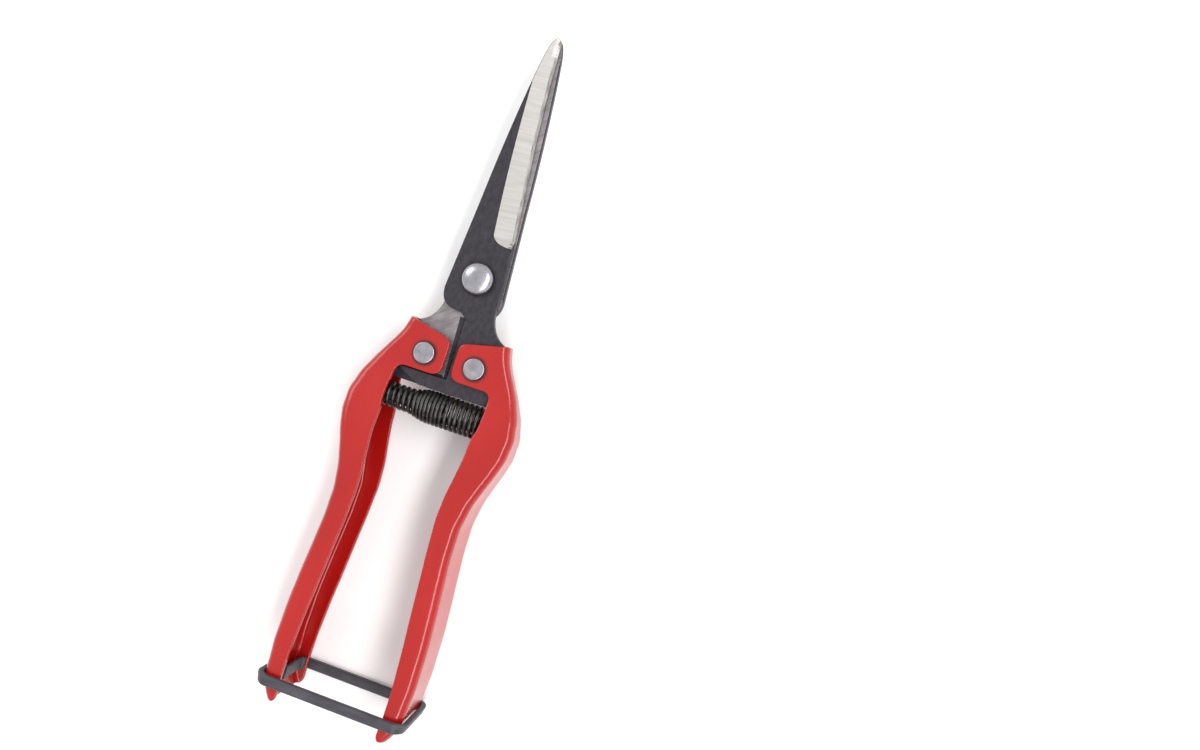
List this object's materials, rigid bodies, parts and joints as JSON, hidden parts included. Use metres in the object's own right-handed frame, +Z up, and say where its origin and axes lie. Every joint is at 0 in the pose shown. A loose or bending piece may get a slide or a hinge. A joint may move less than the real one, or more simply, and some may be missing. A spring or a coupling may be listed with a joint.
{
  "type": "pruning shears",
  "caption": "Slim straight-bladed pruning shears with pressed red channel handles, a barrel coil spring and a rubber closing band around the grips.",
  "frame": {"origin": "centre of the base of the closed tool's box, lying on its back on a flat surface", "axes": "+Y along the tool towards the blade tips, +X towards the handle that carries the front blade, +Z up out of the front face"},
  "size_m": [0.0474, 0.1924, 0.0228],
  "materials": {
    "black_oxide_steel": "black oxide, satin, ground bright along the cutting edge",
    "brushed_blade_steel": "brushed bare steel",
    "red_paint": "gloss",
    "bright_steel": "polished",
    "spring_steel": "blackened, oiled",
    "band_rubber": "matt"
  },
  "bodies": {
    "left_half": {"left_handle": "red_paint", "rear_blade": "brushed_blade_steel", "left_rivet": "bright_steel", "left_rivet_washer": "bright_steel", "left_tang_spacer": "brushed_blade_steel", "left_spring_seat": "spring_steel", "pivot_bolt": "bright_steel", "pivot_washer": "bright_steel", "pivot_nut": "bright_steel", "coil_spring": "spring_steel", "closing_band": "band_rubber", "band_tail": "band_rubber"},
    "right_half": {"right_handle": "red_paint", "front_blade": "black_oxide_steel", "right_rivet": "bright_steel", "right_rivet_washer": "bright_steel", "right_tang_spacer": "brushed_blade_steel", "right_spring_seat": "spring_steel"}
  },
  "joints": [
    {"name": "blade_pivot", "type": "hinge", "parent": "left_half", "child": "right_half", "pos_m": [0, 0.02685, 0.0114], "axis": [0, 0, 1], "range_deg": [-4, 24], "stiffness_Nm_per_rad": 1.5, "deforming": ["coil_spring", "closing_band"]}
  ]
}
